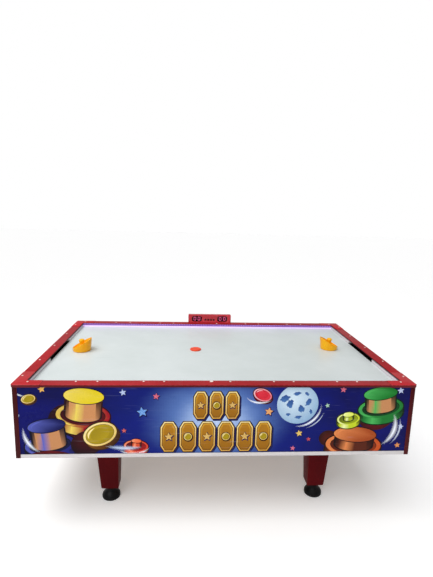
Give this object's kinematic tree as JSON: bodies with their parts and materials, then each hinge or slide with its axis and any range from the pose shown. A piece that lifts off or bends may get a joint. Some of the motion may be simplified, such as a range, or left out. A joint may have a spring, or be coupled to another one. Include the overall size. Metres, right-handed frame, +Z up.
{
  "type": "air hockey table",
  "caption": "Air hockey table: red-railed blue cabinet with a white air playfield, goals, rail scoreboard, blower, legs on levelling feet, mallets and a puck.",
  "frame": {"origin": "on the floor under the middle of the table", "axes": "+X along the table to the right as seen from the front, +Y from the front panel towards the scoreboard side, +Z up"},
  "size_m": [1.85, 1.11, 0.7703],
  "materials": {
    "panel_board": "raw medium-density fibreboard",
    "printed_laminate": "printed blue laminate, satin",
    "end_laminate": "fibreboard faced with blue laminate",
    "trim_white": "white coated channel",
    "post_red": "deep red satin paint",
    "rail_red": "red satin moulding",
    "cap_red": "bright red satin moulding",
    "bumper_white": "pale translucent plastic",
    "light_strip": "lilac light tape",
    "playfield_white": "fibreboard faced with white melamine",
    "tray_black": "black moulding",
    "sensor_black": "black sensor case",
    "housing_black": "black moulding",
    "motor_grey": "rolled steel can",
    "leg_maroon": "dark maroon paint on fibreboard",
    "foot_black": "black rubber",
    "lens_red": "dark red tinted window",
    "display_red": "display module",
    "circuit_green": "green circuit board",
    "button_black": "black keypad rubber",
    "mallet_orange": "yellow-orange moulding",
    "puck_orange": "orange-red moulding"
  },
  "bodies": {
    "table": {"front_panel": "panel_board", "rear_panel": "panel_board", "left_cross_beam": "panel_board", "right_cross_beam": "panel_board", "plenum_frame": "panel_board", "plenum_floor": "panel_board", "front_graphic": "printed_laminate", "rear_graphic": "printed_laminate", "left_end_panel": "end_laminate", "right_end_panel": "end_laminate", "front_bottom_trim": "trim_white", "rear_bottom_trim": "trim_white", "front_left_corner_post": "post_red", "front_right_corner_post": "post_red", "rear_left_corner_post": "post_red", "rear_right_corner_post": "post_red", "front_rail": "rail_red", "rear_rail": "rail_red", "left_rail": "rail_red", "right_rail": "rail_red", "front_left_corner_cap": "cap_red", "front_right_corner_cap": "cap_red", "rear_left_corner_cap": "cap_red", "rear_right_corner_cap": "cap_red", "scoreboard_housing": "cap_red", "front_bumper": "bumper_white", "rear_bumper": "bumper_white", "left_bumper": "bumper_white", "right_bumper": "bumper_white", "front_light_strip": "light_strip", "rear_light_strip": "light_strip", "playfield": "playfield_white", "left_goal_tray": "tray_black", "right_goal_tray": "tray_black", "left_goal_sensor": "sensor_black", "right_goal_sensor": "sensor_black", "blower_housing": "housing_black", "mains_inlet": "housing_black", "blower_motor": "motor_grey", "front_left_leg": "leg_maroon", "front_right_leg": "leg_maroon", "rear_left_leg": "leg_maroon", "rear_right_leg": "leg_maroon", "scoreboard_lens": "lens_red", "left_score_display": "display_red", "right_score_display": "display_red", "scoreboard_circuit_board": "circuit_green"},
    "left_mallet": {"left_mallet": "mallet_orange"},
    "right_mallet": {"right_mallet": "mallet_orange"},
    "puck": {"puck": "puck_orange"},
    "blower_impeller": {"blower_impeller": "housing_black"},
    "mains_switch": {"mains_switch": "tray_black"},
    "front_left_foot": {"front_left_foot": "foot_black"},
    "front_right_foot": {"front_right_foot": "foot_black"},
    "rear_left_foot": {"rear_left_foot": "foot_black"},
    "rear_right_foot": {"rear_right_foot": "foot_black"},
    "score_button_1": {"score_button_1": "button_black"},
    "score_button_2": {"score_button_2": "button_black"},
    "score_button_3": {"score_button_3": "button_black"},
    "score_button_4": {"score_button_4": "button_black"}
  },
  "joints": [
    {"name": "left_mallet_slide", "type": "slide", "parent": "table", "child": "left_mallet", "axis": [1, 0, 0], "range_m": [-0.06, 0.545]},
    {"name": "right_mallet_slide", "type": "slide", "parent": "table", "child": "right_mallet", "axis": [1, 0, 0], "range_m": [-0.69, 0.107]},
    {"name": "puck_slide", "type": "slide", "parent": "table", "child": "puck", "axis": [0, 1, 0], "range_m": [-0.486, 0.446]},
    {"name": "blower_spin", "type": "hinge", "parent": "table", "child": "blower_impeller", "pos_m": [0, 0.03, 0.505], "axis": [0, 1, 0], "continuous": true},
    {"name": "mains_switch_rock", "type": "hinge", "parent": "table", "child": "mains_switch", "pos_m": [0.62, 0.5443, 0.455], "axis": [1, 0, 0], "range_deg": [-24, 0]},
    {"name": "front_left_foot_screw", "type": "slide", "parent": "table", "child": "front_left_foot", "axis": [0, 0, -1], "range_m": [0, 0.02]},
    {"name": "front_right_foot_screw", "type": "slide", "parent": "table", "child": "front_right_foot", "axis": [0, 0, -1], "range_m": [0, 0.02]},
    {"name": "rear_left_foot_screw", "type": "slide", "parent": "table", "child": "rear_left_foot", "axis": [0, 0, -1], "range_m": [0, 0.02]},
    {"name": "rear_right_foot_screw", "type": "slide", "parent": "table", "child": "rear_right_foot", "axis": [0, 0, -1], "range_m": [0, 0.02]},
    {"name": "score_button_1_press", "type": "slide", "parent": "table", "child": "score_button_1", "axis": [0, 1, 0], "range_m": [0, 0.0015], "stiffness_N_per_m": 400},
    {"name": "score_button_2_press", "type": "slide", "parent": "table", "child": "score_button_2", "axis": [0, 1, 0], "range_m": [0, 0.0015], "stiffness_N_per_m": 400},
    {"name": "score_button_3_press", "type": "slide", "parent": "table", "child": "score_button_3", "axis": [0, 1, 0], "range_m": [0, 0.0015], "stiffness_N_per_m": 400},
    {"name": "score_button_4_press", "type": "slide", "parent": "table", "child": "score_button_4", "axis": [0, 1, 0], "range_m": [0, 0.0015], "stiffness_N_per_m": 400}
  ]
}
